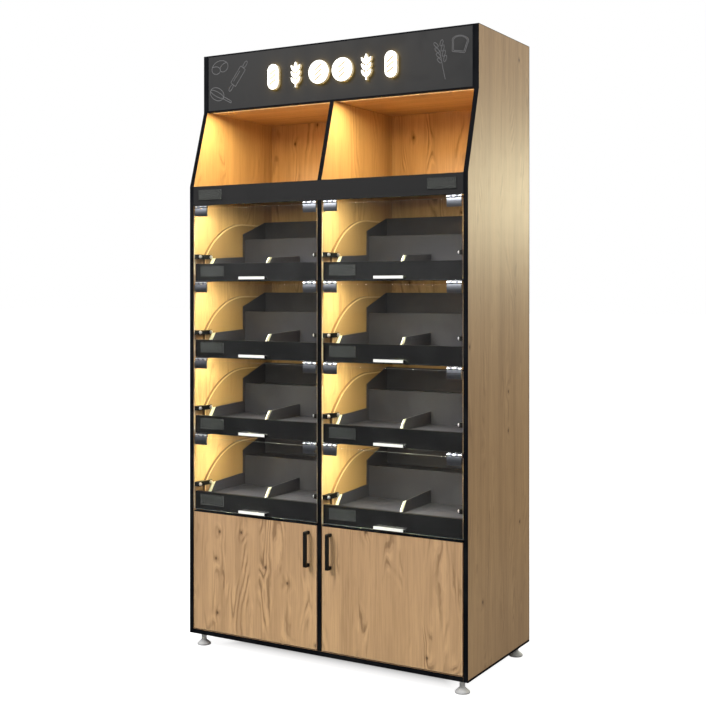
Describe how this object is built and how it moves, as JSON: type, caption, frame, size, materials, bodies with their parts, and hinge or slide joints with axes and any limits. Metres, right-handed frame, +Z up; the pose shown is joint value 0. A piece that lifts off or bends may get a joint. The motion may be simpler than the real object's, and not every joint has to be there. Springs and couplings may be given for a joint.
{
  "type": "bakery display unit",
  "caption": "Tall oak-finish bakery cabinet with a lit header, clear lift-up flaps over tiered display compartments and a two-door cupboard.",
  "frame": {"origin": "on the floor, in the middle of the outline with its door handles", "axes": "+X to the right along the front, +Y from the front to the back, +Z up"},
  "size_m": [1.2, 0.59, 2.33],
  "materials": {
    "oak": "oak-finish laminated board, light grain, satin",
    "dark_board": "anthracite laminated board, matt",
    "dark_sheet": "anthracite plastic sheet, matt",
    "clear_acrylic": "clear, polished",
    "chrome": "polished",
    "black_metal": "black powder coat, matt",
    "white_metal": "white lacquered aluminium",
    "aluminium": "anodised, satin",
    "opal": "opal, lit from inside, warm white",
    "white_plastic": "white moulded",
    "black_plastic": "black moulded",
    "steel": "nickel-plated steel",
    "grey_plastic": "grey moulded"
  },
  "bodies": {
    "cabinet": {"side_panel_left": "oak", "side_panel_right": "oak", "centre_partition": "oak", "top_panel": "oak", "bottom_panel": "oak", "back_panel": "oak", "shelf_boards": "oak", "header_soffit": "oak", "curved_cheeks": "oak", "cupboard_shelves": "oak", "header_fascia": "dark_board", "upper_lip": "dark_board", "row_bands": "dark_board", "tray_floors": "dark_sheet", "tray_walls": "dark_sheet", "tier_boards": "dark_sheet", "tier_cheeks": "dark_sheet", "ticket_holders": "clear_acrylic", "dome_nuts": "chrome", "flap_hinge_plates": "chrome", "flap_hinge_pins": "chrome", "flap_stop_bars": "black_metal", "light_channels": "aluminium", "light_diffusers": "opal", "header_lit_motifs": "opal", "light_driver": "white_plastic", "mains_inlet": "black_plastic", "door_hinge_arms": "steel", "shelf_pegs": "steel", "levelling_feet": "grey_plastic"},
    "flap_left_1": {"flap_panel_left_1": "clear_acrylic", "flap_handle_left_1": "white_metal", "flap_hinge_leaves_left_1": "chrome"},
    "flap_right_1": {"flap_panel_right_1": "clear_acrylic", "flap_handle_right_1": "white_metal", "flap_hinge_leaves_right_1": "chrome"},
    "flap_left_2": {"flap_panel_left_2": "clear_acrylic", "flap_handle_left_2": "white_metal", "flap_hinge_leaves_left_2": "chrome"},
    "flap_right_2": {"flap_panel_right_2": "clear_acrylic", "flap_handle_right_2": "white_metal", "flap_hinge_leaves_right_2": "chrome"},
    "flap_left_3": {"flap_panel_left_3": "clear_acrylic", "flap_handle_left_3": "white_metal", "flap_hinge_leaves_left_3": "chrome"},
    "flap_right_3": {"flap_panel_right_3": "clear_acrylic", "flap_handle_right_3": "white_metal", "flap_hinge_leaves_right_3": "chrome"},
    "flap_left_4": {"flap_panel_left_4": "clear_acrylic", "flap_handle_left_4": "white_metal", "flap_hinge_leaves_left_4": "chrome"},
    "flap_right_4": {"flap_panel_right_4": "clear_acrylic", "flap_handle_right_4": "white_metal", "flap_hinge_leaves_right_4": "chrome"},
    "door_left": {"door_panel_left": "oak", "door_handle_left": "black_metal", "door_hinge_cups_left": "steel"},
    "door_right": {"door_panel_right": "oak", "door_handle_right": "black_metal", "door_hinge_cups_right": "steel"}
  },
  "joints": [
    {"name": "flap_left_1_lift", "type": "hinge", "parent": "cabinet", "child": "flap_left_1", "pos_m": [-0.2955, -0.261, 0.827], "axis": [-1, 0, 0], "range_deg": [0, 90]},
    {"name": "flap_right_1_lift", "type": "hinge", "parent": "cabinet", "child": "flap_right_1", "pos_m": [0.2955, -0.261, 0.827], "axis": [-1, 0, 0], "range_deg": [0, 90]},
    {"name": "flap_left_2_lift", "type": "hinge", "parent": "cabinet", "child": "flap_left_2", "pos_m": [-0.2955, -0.261, 1.125], "axis": [-1, 0, 0], "range_deg": [0, 90]},
    {"name": "flap_right_2_lift", "type": "hinge", "parent": "cabinet", "child": "flap_right_2", "pos_m": [0.2955, -0.261, 1.125], "axis": [-1, 0, 0], "range_deg": [0, 90]},
    {"name": "flap_left_3_lift", "type": "hinge", "parent": "cabinet", "child": "flap_left_3", "pos_m": [-0.2955, -0.261, 1.423], "axis": [-1, 0, 0], "range_deg": [0, 90]},
    {"name": "flap_right_3_lift", "type": "hinge", "parent": "cabinet", "child": "flap_right_3", "pos_m": [0.2955, -0.261, 1.423], "axis": [-1, 0, 0], "range_deg": [0, 90]},
    {"name": "flap_left_4_lift", "type": "hinge", "parent": "cabinet", "child": "flap_left_4", "pos_m": [-0.2955, -0.261, 1.721], "axis": [-1, 0, 0], "range_deg": [0, 90]},
    {"name": "flap_right_4_lift", "type": "hinge", "parent": "cabinet", "child": "flap_right_4", "pos_m": [0.2955, -0.261, 1.721], "axis": [-1, 0, 0], "range_deg": [0, 90]},
    {"name": "door_left_swing", "type": "hinge", "parent": "cabinet", "child": "door_left", "pos_m": [-0.58025, -0.265, 0.302], "axis": [0, 0, -1], "range_deg": [0, 110]},
    {"name": "door_right_swing", "type": "hinge", "parent": "cabinet", "child": "door_right", "pos_m": [0.58025, -0.265, 0.302], "axis": [0, 0, 1], "range_deg": [0, 110]}
  ]
}
